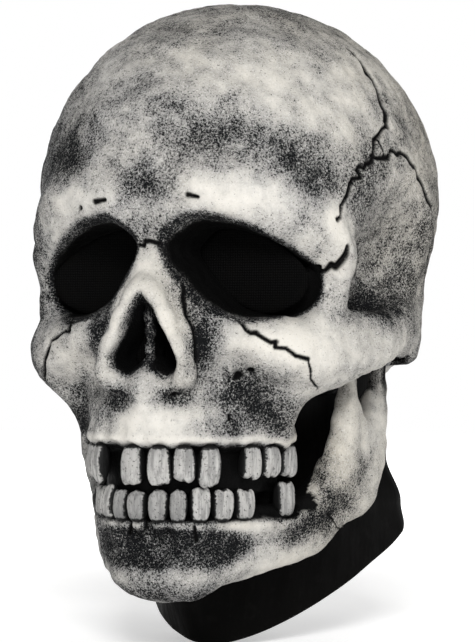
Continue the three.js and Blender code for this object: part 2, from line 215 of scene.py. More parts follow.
def cranium(p):
    """The upper skull as a solid, before its sockets are cut. p holds |x|, y, z."""
    s = ball(p, [0, -12, 58], [90, 109, 91])
    s = carve(s, ball(p, [108, -40, 14], [44, 38, 46]), 16)  # temples
    s = carve(s, ball(p, [90, -52, 22], [20, 15, 16]), 10)
    brow = [[7, -108, 49, 9.5], [26, -106, 55, 11], [48, -95, 49.5, 10.5], [61, -84, 41, 8.5],
            [67.5, -76, 30, 6.5]]
    s = join(s, rod(p, brow, 5), 14)
    s = join(s, ball(p, [0, -76, -8], [44, 42, 44]), 12)  # midface
    cheek = [[20, -101, -10, 12], [40, -94, -9, 13], [56, -83, -14, 15], [65, -66, -13, 13]]
    s = join(s, rod(p, cheek), 12)
    s = join(s, rod(p, [[61, -76, -6, 10], [67, -74, 10, 6.5], [68, -73, 28, 6.5]]), 8)
    below = [[64, -66, -16, 12], [74, -44, -11, 9.5], [76.5, -18, -4, 7.5], [71, 6, 1, 7]]
    above = [[66, -64, -5, 10], [74.5, -44, -2, 7.5], [76.5, -18, 3, 6], [71, 6, 6, 6.5]]
    s = join(s, rod(p, below), 7)
    s = join(s, rod(p, above), 7)
    s = join(s, ball(p, [66, 15, -3], [9, 12, 19]), 12)  # mastoid
    s = join(s, drum(p, [0, 7, -2], [69, 68], 28, 16), 24)  # base, round the nape
    rise = -31 + 13 * smooth(64 - p[..., 1], 0, 32)  # its lower edge rises towards the jaw
    s = carve(s, np.maximum(p[..., 2] - rise, 8 - p[..., 1]), 6)
    s = join(s, drum(p, [0, -71, GUM + 16], [43.5, 46], 17.5, 8), 12)  # muzzle
    s = join(s, ball(p, [0, -102, GUM + 13], [21, 15.5, 12]), 8)
    for x, y, width, _, turn in UPPER.values():  # roots
        a = math.radians(turn)
        dx, dy = -math.sin(a), math.cos(a)
        low = [x + dx * 1.4, y + dy * 1.4, GUM + 4, width * 0.4]
        high = [x * 0.93 + dx * 5, y + dy * 5, GUM + (21 if width > 9.7 else 17), width * 0.32]
        s = join(s, rod(p, [low, high]), 6)
    s = join(s, rod(p, [[42, -78, -50, 6], [48, -80, -36, 7], [54, -80, -24, 9]]), 10)
    s = join(s, rod(p, [[0, -106, 36, 8], [0, -110, 24, 7.5], [0, -117, 13, 7]]), 8)
    side = [[5, -107, 30, 5], [11, -109, 10, 6], [17, -110, -8, 7], [19, -109, -22, 6.5]]
    s = join(s, rod(p, side), 8)
    rim = [[0, -121, 14, 4.3], [4, -121.6, 10, 4.9], [7, -121.4, 5.5, 3.8], [9.7, -121, 0, 4.8],
           [12.2, -121, -5.5, 3.9], [15, -120.4, -11, 5], [17.5, -119.6, -17, 4.3],
           [18.5, -118.6, -23, 5.8], [11, -116.8, -28.5, 3.9], [0, -118, -27, 5.2]]
    s = join(s, rod(p, rim), 3)
    s = join(s, ball(p, [0, -117, -30], [5, 6, 9]), 6)
    s = carve(s, ball(p, [35, -112, -25], [9, 11, 10]), 10)  # canine fossa
    groove = [[12, -121, 27, 1.4], [19, -119, 10, 1.6], [23.5, -116.5, -8, 1.6], [25, -113, -26, 1.4]]
    s = carve(s, rod(p, groove), 3)
    # The gum rises in an arch over each tooth and hangs down between them.
    for x, y, width, _, turn in UPPER.values():
        a = math.radians(turn)
        arch = [x + math.sin(a) * 2, y - math.cos(a) * 2, GUM - 2.6]
        s = carve(s, ball(p, arch, [width * 0.5, width * 0.5, 5.4]), 1.4)
    return s


def alveolar(p, teeth, behind, low, high):
    """The low wall of gum behind a row of teeth, as one arch in plan."""
    line = [(0.0, list(teeth.values())[0][1] + behind)]
    line += [(x - behind * math.sin(math.radians(turn)), y + behind * math.cos(math.radians(turn)))
             for x, y, _, _, turn in teeth.values()]
    flat = p[..., :2]
    found = None
    for a, b in zip(line[:-1], line[1:]):
        far = segment(flat, a, b)[0]
        found = far if found is None else np.minimum(found, far)
    return np.maximum(found - 2.2, slab(p[..., 2], low, high))


def past_face(p):
    """How far back from the face's sloping front, which falls away to the sides."""
    return p[..., 1] + 122 - 0.5 * p[..., 0]


def eye_hole(p, grow, back):
    depth = past_face(p)
    hole = outline(p[..., 0], p[..., 2], EYE) - grow + 0.10 * np.clip(depth, -8, 60)
    return np.maximum(hole, p[..., 1] - back)


def nose_hole(p, grow, back):
    hole = outline(p[..., 0], p[..., 2], NOSE) - grow + 0.1 * np.clip(p[..., 1] + 122, 0, 60)
    return np.maximum(hole, p[..., 1] - back)


def septum(p):
    x, y, z = p[..., 0], p[..., 1], p[..., 2]
    lean = np.abs(x) - 1.3 - 0.5 * np.sin(z * 0.9) - 0.05 * np.clip(-12 - z, 0, 20)
    ends = np.maximum(np.abs(z + 6) - 17, y - NOSTRIL_BACK + 1)
    return np.maximum(np.maximum(lean, -(y + 116.5 + 0.12 * z)), ends) * 0.8


def neck_at(z):
    """half width, widest y, front and rear of the neck at height z."""
    table = np.array(NECK, float)
    k = np.clip(np.searchsorted(-table[:, 0], -z), 1, len(NECK) - 1)
    a, b = table[k - 1], table[k]
    t = smooth((a[..., 0] - z) / (a[..., 0] - b[..., 0]), 0, 1)
    return [a[..., i] + (b[..., i] - a[..., i]) * t for i in (1, 2, 3, 4)]


def neck_column(p, grow=0.0):
    half, middle, front, rear = neck_at(p[..., 2])
    y = p[..., 1] - middle
    reach = np.where(y < 0, middle - front, rear - middle) + grow
    along = y / reach
    width = (half + grow) * (1 - NECK_NARROW * np.clip(-along, 0, 1))
    across = p[..., 0] / width
    near = np.hypot(across, along)
    slope = np.maximum(np.hypot(across / width, along / reach), 1e-5)
    return np.maximum(near * (near - 1) / slope, p[..., 2] - NECK[0][0]).astype(np.float32)


def slab(values, low, high):
    return np.maximum(low - values, values - high)


def with_sockets(solid, p):
    s = carve(solid, eye_hole(p, 0, SOCKET_BACK + 2), 5)
    return join(carve(s, nose_hole(p, 0, NOSTRIL_BACK + 2), 2.5), septum(p), 1.5)


def skull_outer(p):
    return with_sockets(cranium(p), p)


def skull(p):
    """The cast shell with its sockets, open below for the neck and at the sides for the jaw."""
    solid = cranium(p)
    room = np.maximum(solid + WALL, -eye_hole(p, WALL, SOCKET_BACK))
    room = np.maximum(room, -nose_hole(p, WALL, NOSTRIL_BACK))
    s = np.maximum(with_sockets(solid, p), -room)
    s = join(s, alveolar(p, UPPER, BEHIND, GUM - 19.5, GUM - 1), 1.5)
    s = carve(s, neck_column(p, GAP + 0.3), 1)
    y, z = p[..., 1], p[..., 2]
    s = carve(s, np.maximum(outline(y, z, ROOM), slab(p[..., 0], *ROOM_X)), 1.5)
    return carve(s, np.maximum(outline(y, z, GATE), slab(p[..., 0], *GATE_X)), 2)


# ---- The lower jaw ----

def mandible(p):
    """The lower jaw. p holds |x|, y, z."""
    border = [[0, -96, -106, 12], [17, -91, -105, 10.8], [32, -75, -101, 8.8], [47, -50, -95, 8],
              [57, -27, -82, 7]]
    gum = [[0, -100, -90, 8], [16, -97, -90, 8], [28, -86, -89, 7.5], [39, -70, -87, 7.5],
           [49, -52, -80, 8], [56, -38, -70, 7]]
    s = join(rod(p, border), rod(p, gum), 10)
    s = join(s, ball(p, [0, -100, -108.5], [20, 9.5, 9.5]), 12)  # chin
    s = join(s, ball(p, [62.3, -23, -54], [6.8, 24, 30]), 8)  # ramus
    rear = [[60, -20, -76, 7], [62.5, -10, -62, 6.4], [64, -4, -42, 5.5], [64, 0, -24, 5.2],
            [63.5, 0, -13, 6]]
    fore = [[54, -44, -74, 6.5], [59.5, -42, -56, 6], [62, -40, -38, 5.2], [63, -38, -20, 4.4],
            [63, -38, -13, 3.6]]
    s = join(s, rod(p, rear), 6)
    s = join(s, rod(p, fore), 6)
    s = carve(s, ball(p, [62, -23, -23], [30, 12, 19]), 5)  # notch
    for x, y, width, _, turn in list(LOWER.values())[:6]:  # roots
        a = math.radians(turn)
        dx, dy = -math.sin(a), math.cos(a)
        high = [x + dx * 2, y + dy * 2, JAW_GUM - 3, width * 0.42]
        low = [x * 0.95 + dx * 3.6, y + dy * 3.6, JAW_GUM - 12, width * 0.3]
        s = join(s, rod(p, [high, low]), 5)
    s = carve(s, ball(p, [0, -119, -97.5], [23, 9.5, 6]), 8)  # hollow above the chin
    s = carve(s, ball(p, [20.5, -108.5, -98.5], [2.2, 5, 2]), 3)
    for x, y, width, _, turn in LOWER.values():
        a = math.radians(turn)
        arch = [x + math.sin(a) * 2, y - math.cos(a) * 2, JAW_GUM + 2.4]
        s = carve(s, ball(p, arch, [width * 0.48, width * 0.48, 4.4]), 1.4)
    return s


def swung(p, turn):
    """Where the jaw's points are once it has dropped open by turn, in radians."""
    z = p[..., 2] - PIVOT_Z
    c, s = math.cos(turn), math.sin(turn)
    return np.stack([p[..., 0], p[..., 1] * c - z * s, p[..., 1] * s + z * c + PIVOT_Z], -1)


def jaw(p):
    """The jaw as cast: channelled inside, its upright plates flat where they are riveted."""
    s = mandible(p)
    channel = [[0, -86, -100, 7.5], [15, -83, -100, 7.5], [29, -67, -98, 6.5], [43, -43, -90, 5.5],
               [48, -28, -82, 4]]
    s = carve(s, rod(p, channel), 3)
    s = join(s, alveolar(p, LOWER, JAW_BEHIND, JAW_GUM - 1, JAW_GUM + 16.5), 1.5)
    x, y, z = p[..., 0], p[..., 1], p[..., 2]
    plate = np.abs(x - 62.3) - 4.5 - 0.14 * np.maximum(-26 - z, 0) - 3 * np.maximum(-60 - z, 0)
    s = -join(-s, -plate, 2)
    s = carve(s, np.hypot(y, z - PIVOT_Z) - 3.4, 0.6)
    for turn in (0, OPEN / 2, OPEN):  # clear of the neck all the way open
        s = carve(s, neck_column(swung(p, turn), GAP + 0.3), 1)
    return s


# ---- Meshing ----

def sample(form, low, high, step, mirrored):
    """The form's distances on a lattice, worked out finely only near its surface."""
    rough = 4
    low, high = np.array(low, float), np.array(high, float)
    cells = np.ceil((high - low) / (step * rough)).astype(int)
    axes = [low[i] + np.arange(cells[i] + 1) * step * rough for i in range(3)]
    grid = np.stack(np.meshgrid(*axes, indexing="ij"), -1).astype(np.float32)
    coarse = form(grid)
    wide = coarse
    for axis in range(3):
        wide = np.repeat(wide, rough, axis)
    half = rough // 2
    last = cells * rough + 1
    fine = wide[half:half + last[0], half:half + last[1], half:half + last[2]].copy()
    near = np.argwhere(np.abs(fine) < step * rough * 1.25 + 1.5)
    for start in range(0, len(near), 300_000):
        some = near[start:start + 300_000]
        points = (low + some * step).astype(np.float32)
        fine[some[:, 0], some[:, 1], some[:, 2]] = form(points)
    if mirrored:
        fine = np.concatenate([fine[:0:-1], fine], 0)
        low = low - [(last[0] - 1) * step, 0, 0]
    return fine, low


def net(field, low, step):
    """Vertices and quads of the field's zero surface, by surface nets."""
    shape = np.array(field.shape) - 1
    size = int(shape.prod())
    strides = np.array([shape[1] * shape[2], shape[2], 1])
    total, count = np.zeros((size, 3)), np.zeros(size)
    quads = []
    for axis in range(3):
        a = np.moveaxis(field, axis, 0)[:-1]
        b = np.moveaxis(field, axis, 0)[1:]
        where = np.argwhere((a < 0) != (b < 0))
        va, vb = a[tuple(where.T)], b[tuple(where.T)]
        others = [(axis + 1) % 3, (axis + 2) % 3]
        point = np.empty((len(where), 3))
        order = [axis] + [i for i in range(3) if i != axis]
        point[:, order] = where
        keep = np.all((point[:, others] > 0) & (point[:, others] < shape[others]), 1)
        point, va, vb = point[keep], va[keep], vb[keep]
        corner = point.astype(int)
        cross = point.copy()
        cross[:, axis] += va / (va - vb)
        ring = []
        for du, dv in ((-1, -1), (0, -1), (0, 0), (-1, 0)):
            cell = corner.copy()
            cell[:, others[0]] += du
            cell[:, others[1]] += dv
            flat = cell @ strides
            ring.append(flat)
            count += np.bincount(flat, minlength=size)
            for i in range(3):
                total[:, i] += np.bincount(flat, cross[:, i], size)
        ring = np.stack(ring, 1)
        ring[va >= 0] = ring[va >= 0][:, ::-1]
        quads.append(ring)
    used = np.flatnonzero(count)
    index = np.full(size, -1)
    index[used] = np.arange(len(used))
    return total[used] / count[used, None] * step + low, index[np.concatenate(quads)]


def relaxed(verts, quads, rounds, share=0.5):
    """The vertices drawn towards their neighbours' middle, then back out a little less."""
    edges = np.concatenate([quads[:, [i, (i + 1) % 4]] for i in range(4)])
    degree = np.bincount(edges[:, 0], minlength=len(verts))[:, None]
    for k in range(rounds):
        middle = np.stack([np.bincount(edges[:, 0], verts[edges[:, 1], i], len(verts))
                           for i in range(3)], 1) / np.maximum(degree, 1)
        verts = verts + (middle - verts) * (share if k % 2 == 0 else -share * 0.96)
    return verts


def mesh_object(name, verts, faces):
    """A smooth-shaded object from vertices in millimetres."""
    mesh = bpy.data.meshes.new(name)
    mesh.from_pydata((np.asarray(verts) * MM).tolist(), [], np.asarray(faces).tolist()
                     if isinstance(faces, np.ndarray) else faces)
    mesh.update()
    mesh.shade_smooth()
    made = bpy.data.objects.new(name, mesh)
    bpy.context.scene.collection.objects.link(made)
    return made


def strips(rows, around, start=0, closed=False):
    """Quads between neighbouring rings of points; closed joins the last ring to the first."""
    faces = []
    for r in range(rows if closed else rows - 1):
        a, b = start + r * around, start + (r + 1) % rows * around
        faces += [[a + i, a + (i + 1) % around, b + (i + 1) % around, b + i] for i in range(around)]
    return faces


def outwards(thing):
    """The object with its faces all turned outwards."""
    edit = bmesh.new()
    edit.from_mesh(thing.data)
    bmesh.ops.recalc_face_normals(edit, faces=edit.faces)
    edit.to_mesh(thing.data)
    edit.free()
    return thing


def sculpted(name, form, low, high, step, mirrored=True):
    field, corner = sample(form, low, high, step, mirrored)
    verts, quads = net(field, corner, step)
    return mesh_object(name, relaxed(verts, quads, 2), quads)


def points_of(thing):
    co = np.zeros(len(thing.data.vertices) * 3, np.float32)
    thing.data.vertices.foreach_get("co", co)
    return co.reshape(-1, 3) / MM


def normals_of(thing):
    n = np.zeros(len(thing.data.vertices) * 3, np.float32)
    thing.data.vertices.foreach_get("normal", n)
    return n.reshape(-1, 3)


def set_points(thing, points):
    thing.data.vertices.foreach_set("co", (points * MM).astype(np.float32).ravel())
    thing.data.update()


def set_attribute(thing, name, values):
    made = thing.data.attributes.new(name, "FLOAT", "POINT")
    made.data.foreach_set("value", np.clip(values, 0, 1).astype(np.float32))


def painted(thing, **layers):
    """Lays values on the object's vertices for its material to read."""
    for name, values in layers.items():
        set_attribute(thing, name, values)


def modified(thing, kind, **settings):
    """The object with a modifier added and applied."""
    modifier = thing.modifiers.new(kind, kind)
    for key, value in settings.items():
        setattr(modifier, key, value)
    graph = bpy.context.evaluated_depsgraph_get()
    mesh = bpy.data.meshes.new_from_object(thing.evaluated_get(graph))
    thing.modifiers.clear()
    old = thing.data
    thing.data = mesh
    bpy.data.meshes.remove(old)
    mesh.name = thing.name
    mesh.shade_smooth()
    return thing


def lumps(p, random, high):
    """Gentle unevenness of a hand-sculpted surface, up to about the given height."""
    total = np.zeros(len(p))
    for length, share in ((34, 0.5), (19, 0.35), (9, 0.28), (5, 0.1)):
        for _ in range(5):
            way = random.normal(size=3)
            way *= 2 * math.pi / (length * np.linalg.norm(way))
            total += share * 0.45 * np.sin(p @ vec(way) + random.uniform(0, 6.3))
    return total * high


def folded(p):
    """The same points with |x|."""
    q = p.astype(np.float32).copy()
    q[..., 0] = np.abs(q[..., 0])
    return q


# ---- Cracks, sutures and pits ----

# Each one: its points, half width and depth. Points are on or near the surface.
SKULL_CRACKS = [
    ([(60, -36, 123), (66, -35, 117), (73, -38, 108), (78, -39, 97), (82, -42, 88)], 1.5, 2.0),
    ([(82, -42, 88), (79, -54, 80), (80, -60, 71), (77, -67, 66), (77, -70, 60), (73, -76, 52),
      (71, -82, 43)], 1.0, 1.8),
    ([(80, -59, 73), (83, -49, 72), (86, -39, 76), (88, -28, 71), (89, -19, 64), (90, -5, 54)], 1.1, 1.8),
    ([(83, -49, 72), (80, -53, 80)], 0.6, 1.0),
    ([(56, -82, 24), (63, -84, 21), (70, -82, 23), (75, -78, 32)], 1.3, 2.4),
    ([(35, -101, 2), (39, -107, -3), (47, -105, -7), (54, -102, -12), (64, -95, -16)], 1.0, 1.8),
    ([(64, -95, -16), (66, -90, -24), (67, -84, -33)], 0.5, 0.8),
    ([(-47, -92, 3), (-43, -106, -4), (-54, -102, -11), (-63, -90, -26)], 0.9, 1.6),
    ([(-9, -116, 33), (0, -118, 31.5), (9, -115, 33.5)], 1.0, 1.6),
    ([(-23.5, -121, 49.9), (-18, -121.5, 50.7)], 1.0, 1.8),
    ([(20, -121, 52), (24, -120.5, 51)], 1.0, 1.8),
    ([(-32, -117, 48), (-33, -117, 47)], 1.0, 1.6),
    ([(6, -116, 30), (14, -115, 16), (21, -117, -3), (23, -114, -24)], 1.0, 1.6),
    ([(33, -99, -24), (34, -99, -23)], 1.6, 2.2), ([(39, -99, -21), (40, -98, -20)], 1.4, 2.0),
    ([(12, -118, -32), (13, -118, -31)], 1.1, 1.4), ([(32, -103, -42), (32, -103, -40)], 1.0, 1.2),
    ([(88, 6, 36), (84, 15, 24), (80, 18, 8)], 0.5, 0.9),
    ([(-70, -60, 100), (-77, -50, 88), (-80, -52, 76), (-78, -62, 66)], 0.6, 1.0),
    ([(-82, -30, 84), (-86, -10, 80), (-84, 12, 84), (-78, 30, 92)], 0.7, 1.2),
    ([(0, 8, 149), (2, 30, 142), (-2, 52, 130), (1, 72, 110), (0, 88, 84)], 0.5, 0.9),
] + [([(0, 88, 84), (s * 22, 84, 72), (s * 44, 72, 56), (s * 58, 58, 40)], 0.5, 0.9) for s in (1, -1)]
JAW_CRACKS = [
    ([(-8, -114, -86), (-9, -113, -94)], 0.8, 1.4),
    ([(19, -110, -87), (19.5, -108, -93)], 0.9, 1.4),
    ([(56, -50, -84), (60, -40, -90), (58, -32, -95)], 0.5, 0.7),
]
CRACK_WANDER = 1.9
CRACK_REACH = 2.0  # how far to each side of a crack the mesh is made finer


def settled(form, p):
    """The points moved onto the form's surface."""
    p = np.array(p, np.float32)
    for _ in range(4):
        here = form(folded(p))
        slope = np.stack([form(folded(p + vec(d) * 0.3)) - here for d in np.eye(3)], 1) / 0.3
        p = p - (here / np.maximum((slope ** 2).sum(1), 0.2))[:, None] * slope
    return p


def crack_runs(form, cracks, random):
    """Each crack as a wandering line on the surface, with a half width and depth."""
    runs = []
    for points, width, depth in cracks:
        run = curve(points, 3) if len(points) > 2 else np.array(points, float)
        if len(points) > 2:
            run[1:-1] += random.uniform(-CRACK_WANDER, CRACK_WANDER, (len(run) - 2, 3))
        widths = width * random.uniform(0.7, 1.25, len(run))
        runs.append((settled(form, run), widths, depth))
    return runs


def crack_marks(p, runs):
    """For each point, how deep a crack cuts in and how dark it is, 0 to 1."""
    depth, dark = np.zeros(len(p)), np.zeros(len(p))
    for run, widths, deep in runs:
        low, high = run.min(0) - 6, run.max(0) + 6
        near = np.flatnonzero(((p > low) & (p < high)).all(1))
        q = p[near]
        for a, b, wa, wb in zip(run[:-1], run[1:], widths[:-1], widths[1:]):
            far, t = segment(q, a, b)
            width = wa + (wb - wa) * t
            depth[near] = np.maximum(depth[near], deep * np.exp(-(far / width) ** 2))
            dark[near] = np.maximum(dark[near], 1 - smooth(far, width * 0.7, width * 1.5))
    return depth, dark


def refined(thing, runs, reach, longest):
    """The mesh with its edges halved near the cracks until they are short."""
    for _ in range(3):
        p = points_of(thing)
        edges = np.zeros(len(thing.data.edges) * 2, np.int32)
        thing.data.edges.foreach_get("vertices", edges)
        edges = edges.reshape(-1, 2)
        long = np.linalg.norm(p[edges[:, 0]] - p[edges[:, 1]], axis=1)
        middle = (p[edges[:, 0]] + p[edges[:, 1]]) / 2
        close = np.full(len(edges), 1e9)
        for run, _, _ in runs:
            near = np.flatnonzero(((middle > run.min(0) - 8) & (middle < run.max(0) + 8)).all(1))
            for a, b in zip(run[:-1], run[1:]):
                close[near] = np.minimum(close[near], segment(middle[near], a, b)[0])
        chosen = np.flatnonzero((close < reach + long * 0.5) & (long > longest))
        if not len(chosen):
            break
        edit = bmesh.new()
        edit.from_mesh(thing.data)
        edit.edges.ensure_lookup_table()
        bmesh.ops.subdivide_edges(edit, edges=[edit.edges[i] for i in chosen], cuts=1)
        bmesh.ops.triangulate(edit, faces=[f for f in edit.faces if len(f.verts) > 3])
        edit.to_mesh(thing.data)
        edit.free()
    thing.data.shade_smooth()
    return thing


# ---- Materials ----

class Wires:
    """A material's nodes, wired up by calls."""

    def __init__(self, name):
        self.material = bpy.data.materials.new(name)
        self.material.use_nodes = True
        self.tree = self.material.node_tree
        self.shader = self.tree.nodes["Principled BSDF"]
        self.place = self.node("ShaderNodeTexCoord").outputs["Object"]

    def node(self, kind, settings=(), **inputs):
        made = self.tree.nodes.new(kind)
        for key, value in dict(settings).items():
            setattr(made, key, value)
        for key, value in inputs.items():
            self.put(made.inputs[key.replace("_", " ")], value)
        return made

    def put(self, socket, value):
        if isinstance(value, bpy.types.NodeSocket):
            self.tree.links.new(value, socket)
        else:
            socket.default_value = value

    def math(self, operation, *values, clamp=False):
        made = self.node("ShaderNodeMath", {"operation": operation, "use_clamp": clamp})
        for socket, value in zip(made.inputs, values):
            self.put(socket, value)
        return made.outputs[0]

    def noise(self, scale, detail=3.0, rough=0.6, place=None):
        return self.node("ShaderNodeTexNoise", Vector=place or self.place, Scale=scale,
                         Detail=detail, Roughness=rough).outputs["Fac"]

    def stretched(self, x, y, z):
        return self.node("ShaderNodeMapping", Vector=self.place, Scale=(x, y, z)).outputs[0]

    def attribute(self, name):
        return self.node("ShaderNodeAttribute", {"attribute_name": name}).outputs["Fac"]

    def spread(self, value, low, high, to_low=0.0, to_high=1.0):
        made = self.node("ShaderNodeMapRange", {"interpolation_type": "SMOOTHSTEP"})
        for socket, given in zip(made.inputs, (value, low, high, to_low, to_high)):
            self.put(socket, given)
        return made.outputs[0]

    def mix(self, share, a, b):
        made = self.node("ShaderNodeMix", {"data_type": "RGBA"})
        for socket, value in zip((made.inputs[0], made.inputs[6], made.inputs[7]), (share, a, b)):
            self.put(socket, value)
        return made.outputs[2]

    def bump(self, *heights):
        """Bumps laid one on another; each is a height and how many metres it stands."""
        normal = None
        for height, distance in heights:
            made = self.node("ShaderNodeBump", Height=height, Distance=distance, Strength=1.0)
            if normal:
                self.put(made.inputs["Normal"], normal)
            normal = made.outputs[0]
        return normal

    def finish(self, **inputs):
        for key, value in inputs.items():
            self.put(self.shader.inputs[key.replace("_", " ")], value)
        return self.material


def grey(level, warm=0.0):
    """A colour near grey; warm leans it to yellow, and below 0 to blue."""
    return (level * (1 + warm * 0.5), level, level * (1 - warm), 1)


def bone_material():
    w = Wires("bone_latex")
    crack, black, warm = (w.attribute(n) for n in ("crack", "black", "warm"))
    cloud = w.math("MULTIPLY", w.math("SUBTRACT", w.noise(38, 5, 0.7), 0.5), 0.85)
    blotch = w.math("MULTIPLY", w.math("SUBTRACT", w.noise(120, 4, 0.7), 0.5), 0.8)
    grime = w.math("ADD", w.math("ADD", w.attribute("grime"), cloud), blotch)
    tint = w.math("ADD", w.math("MULTIPLY", w.noise(26, 3), 0.7), w.math("SUBTRACT", warm, 0.25),
                  clamp=True)
    clean = w.mix(tint, grey(0.58, 0.075), grey(0.47, 0.19))
    # Greyer, darker and more speckled where the paint value is high: the paint, with its painted shade.
    greyed = w.mix(w.spread(grime, 0.0, 0.85), clean, w.mix(tint, grey(0.22, 0.01), grey(0.22, 0.16)))
    deep = w.mix(w.spread(grime, 0.85, 1.5), greyed, grey(0.02, -0.10))
    light_specks = w.mix(w.spread(w.noise(1400, 2, 0.8), 0.54, 0.66, 0.0, 0.6), deep, grey(0.58, 0.04))
    edge = w.spread(grime, 0.15, 1.35, 0.67, 0.36)
    speck = w.noise(1150, 3, 0.9)
    mask = w.spread(speck, w.math("SUBTRACT", edge, 0.04), w.math("ADD", edge, 0.03))
    specked_and_shaded = w.mix(mask, light_specks, grey(0.006, -0.10))
    lined = w.mix(w.math("ADD", crack, black, clamp=True), specked_and_shaded, grey(0.002))
    rough = w.spread(w.math("ADD", mask, w.noise(300, 2)), 0.2, 1.6, 0.55, 0.8)
    normal = w.bump((w.noise(60, 4, 0.6), 0.0009), (w.noise(420, 4, 0.7), 0.00045),
                    (mask, 0.00006))
    return w.finish(Base_Color=lined, Roughness=rough, Normal=normal, Specular_IOR_Level=0.05)


def tooth_material():
    w = Wires("tooth_latex")
    grime, shade = w.attribute("grime"), w.attribute("shade")
    streak = w.noise(1.0, 4, 0.65, w.stretched(520, 520, 55))
    streaks = w.spread(streak, 0.38, 0.64, 0.0, 0.75)
    body = w.mix(w.noise(90, 3), grey(0.56, 0.03), grey(0.30, 0.06))
    brushed = w.mix(streaks, body, grey(0.17, 0.02))
    shaded = w.mix(shade, brushed, grey(0.09, -0.03))
    # Speckled and darkened where the paint value is high, which carries painted shade.
    edge = w.spread(grime, 0.0, 1.0, 0.72, 0.36)
    mask = w.spread(w.noise(800, 3, 0.8), w.math("SUBTRACT", edge, 0.1), w.math("ADD", edge, 0.06))
    specked_and_shaded = w.mix(mask, shaded, grey(0.012))
    lined = w.mix(w.spread(grime, 0.75, 1.0), specked_and_shaded, grey(0.003))
    normal = w.bump((streak, 0.0004), (w.noise(500, 3), 0.0003))
    rough = w.spread(streak, 0.3, 0.7, 0.5, 0.7)
    return w.finish(Base_Color=lined, Roughness=rough, Normal=normal, Specular_IOR_Level=0.15)


def black_latex_material():
    w = Wires("black_latex")
    dust = w.spread(w.noise(160, 5, 0.7), 0.5, 0.8, 0.0, 0.5)
    colour = w.mix(dust, grey(0.0015, 0.1), grey(0.005, 0.08))
    rough = w.spread(w.noise(70, 4), 0.3, 0.7, 0.46, 0.62)
    drag = w.noise(1.0, 3, 0.6, w.stretched(60, 60, 14))
    normal = w.bump((drag, 0.0012), (w.noise(700, 3), 0.0001))
    return w.finish(Base_Color=colour, Roughness=rough, Normal=normal, Specular_IOR_Level=0.03)


def gauze_material():
    w = Wires("gauze")
    split = w.node("ShaderNodeSeparateXYZ", Vector=w.place)
    wave = math.pi / THREAD
    waves = [w.math("ABSOLUTE", w.math("SINE", w.math("MULTIPLY", split.outputs[i], wave)))
             for i in (0, 2)]
    weave = w.math("MULTIPLY", *waves)
    colour = w.mix(weave, grey(0.0012), grey(0.005))
    cloth = w.mix(w.spread(w.noise(120, 3), 0.4, 0.7, 0, 0.4), colour, grey(0.003, 0.1))
    rough = w.spread(weave, 0.0, 1.0, 0.98, 0.85)
    return w.finish(Base_Color=cloth, Roughness=rough, Normal=w.bump((weave, 0.0002)),
                    Specular_IOR_Level=0.01)


def foam_material():
    w = Wires("foam")
    cells = w.node("ShaderNodeTexVoronoi", Vector=w.place, Scale=620.0).outputs["Distance"]
    colour = w.mix(w.spread(cells, 0.1, 0.6), grey(0.008), grey(0.038, -0.04))
    worn = w.mix(w.spread(w.noise(60, 3), 0.45, 0.75, 0, 0.5), colour, grey(0.05, 0.05))
    normal = w.bump((cells, 0.0006), (w.noise(240, 3), 0.0003))
    rough = w.spread(cells, 0.0, 0.7, 0.99, 0.86)
    return w.finish(Base_Color=worn, Roughness=rough, Normal=normal, Specular_IOR_Level=0.2)


def nylon_material():
    w = Wires("rivet_plastic")
    scuff = w.spread(w.noise(1.0, 4, 0.7, w.stretched(300, 900, 300)), 0.5, 0.75)
    colour = w.mix(scuff, grey(0.011), grey(0.05, 0.04))
    rough = w.spread(w.noise(500, 3), 0.3, 0.7, 0.3, 0.5)
    normal = w.bump((w.noise(900, 2), 0.00008), (scuff, 0.00005))
    return w.finish(Base_Color=colour, Roughness=rough, Normal=normal)


def floor_material():
    w = Wires("floor")
    colour = w.mix(w.noise(3, 3), grey(0.93), grey(0.90, 0.01))
    # The floor glows, faintly near the mask and nearly white far off, so that it fades into the backdrop:
    # painted light.
    out = w.node("ShaderNodeVectorMath", {"operation": "LENGTH"}, Vector=w.place).outputs["Value"]
    return w.finish(Base_Color=colour, Roughness=0.9, Normal=w.bump((w.noise(40, 3), 0.0004)),
                    Specular_IOR_Level=0.1, Emission_Color=grey(1.0),
                    Emission_Strength=w.spread(out, 0.15, 0.75, 0.35, 0.95))


BONE, TOOTH, BLACK = bone_material(), tooth_material(), black_latex_material()
GAUZE, FOAM, NYLON = gauze_material(), foam_material(), nylon_material()


def piece(thing, material, slot, body, *nodes):
    thing.data.materials.clear()
    thing.data.materials.append(material)
    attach(thing, body)
    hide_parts(*nodes)
    return thing
